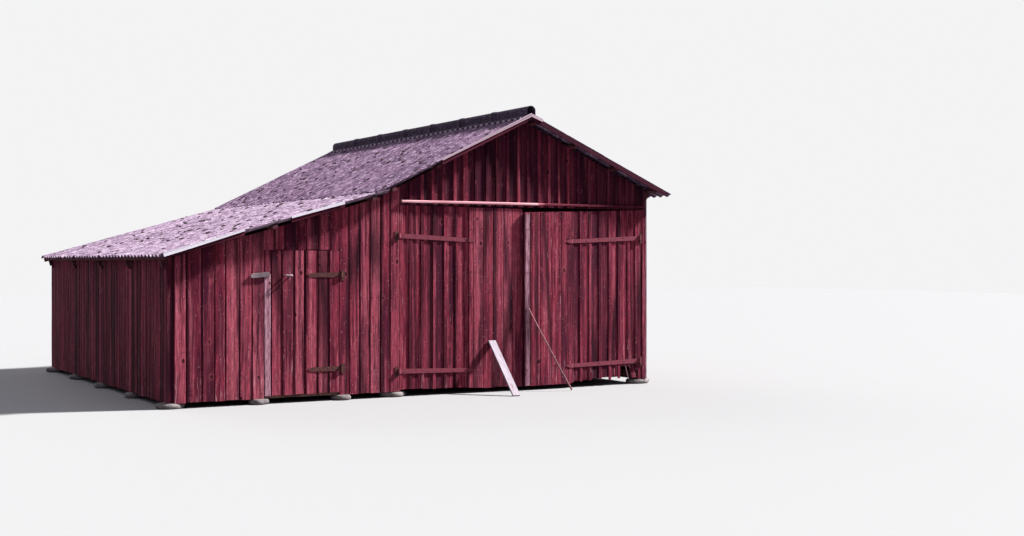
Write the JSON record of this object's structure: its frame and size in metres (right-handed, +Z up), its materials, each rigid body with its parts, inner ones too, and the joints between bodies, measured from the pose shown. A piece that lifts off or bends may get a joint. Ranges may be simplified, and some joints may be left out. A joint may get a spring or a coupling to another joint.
{
  "type": "boathouse",
  "caption": "Timber boathouse with a gabled roof, double doors in the front and a lean-to on its left side.",
  "frame": {"origin": "middle of the whole footprint, at ground level", "axes": "+X to the right along the front, +Y from the doors to the back, +Z up"},
  "size_m": [8.31, 8.2774, 4.3338],
  "materials": {
    "red_boards": "weathered red paint on sawn boards",
    "frame_timber": "bare sawn softwood, aged",
    "grey_wood": "bare wood gone grey",
    "pale_paint": "old white paint on a board",
    "fibre_cement": "weathered grey fibre cement with lichen",
    "dark_fibre_cement": "dark weathered fibre cement",
    "rusty_iron": "rusted forged iron",
    "field_stone": "rough field stone"
  },
  "bodies": {
    "building": {"foundation_stones": "field_stone", "sill_beams": "frame_timber", "wall_posts": "frame_timber", "middle_posts": "frame_timber", "wall_rails": "frame_timber", "wall_plates": "frame_timber", "lean_to_ledger": "frame_timber", "door_lintel": "frame_timber", "small_door_header": "frame_timber", "tie_beams": "frame_timber", "king_posts": "frame_timber", "ridge_board": "frame_timber", "main_rafters": "frame_timber", "lean_to_rafters": "frame_timber", "main_purlins": "frame_timber", "lean_to_purlins": "frame_timber", "right_roof_sheets": "fibre_cement", "left_roof_sheets": "fibre_cement", "lean_to_roof_sheets": "fibre_cement", "ridge_caps": "dark_fibre_cement", "front_bargeboards": "red_boards", "back_bargeboards": "red_boards", "verge_strips": "pale_paint", "right_wall_cladding": "red_boards", "left_wall_cladding": "red_boards", "back_gable_wall": "red_boards", "back_lean_to_wall": "red_boards", "front_gable": "red_boards", "front_corner_wall": "red_boards", "wall_over_small_door": "red_boards", "wall_between_doors": "red_boards", "right_door_jamb": "red_boards", "corner_boards": "red_boards", "drip_board": "red_boards", "door_pintles": "rusty_iron"},
    "left_door": {"left_leaf": "red_boards", "left_leaf_braces": "frame_timber", "left_leaf_straps": "rusty_iron", "leaning_plank": "pale_paint"},
    "right_door": {"right_leaf": "red_boards", "right_leaf_braces": "frame_timber", "right_leaf_straps": "rusty_iron", "leaning_stake": "grey_wood"},
    "small_door": {"small_door_leaf": "red_boards", "small_door_ledges": "red_boards", "small_door_straps": "rusty_iron", "small_door_handle": "grey_wood", "small_door_latch_board": "grey_wood"}
  },
  "joints": [
    {"name": "left_door_hinge", "type": "hinge", "parent": "building", "child": "left_door", "pos_m": [-0.61, -3.39335, 0.372], "axis": [0, 0, -1], "range_deg": [0, 100]},
    {"name": "right_door_hinge", "type": "hinge", "parent": "building", "child": "right_door", "pos_m": [3.65, -3.39335, 0.372], "axis": [0, 0, 1], "range_deg": [-1.6, 98.4]},
    {"name": "small_door_hinge", "type": "hinge", "parent": "building", "child": "small_door", "pos_m": [-1.51, -3.39335, 0.45], "axis": [0, 0, 1], "range_deg": [0, 100]}
  ]
}
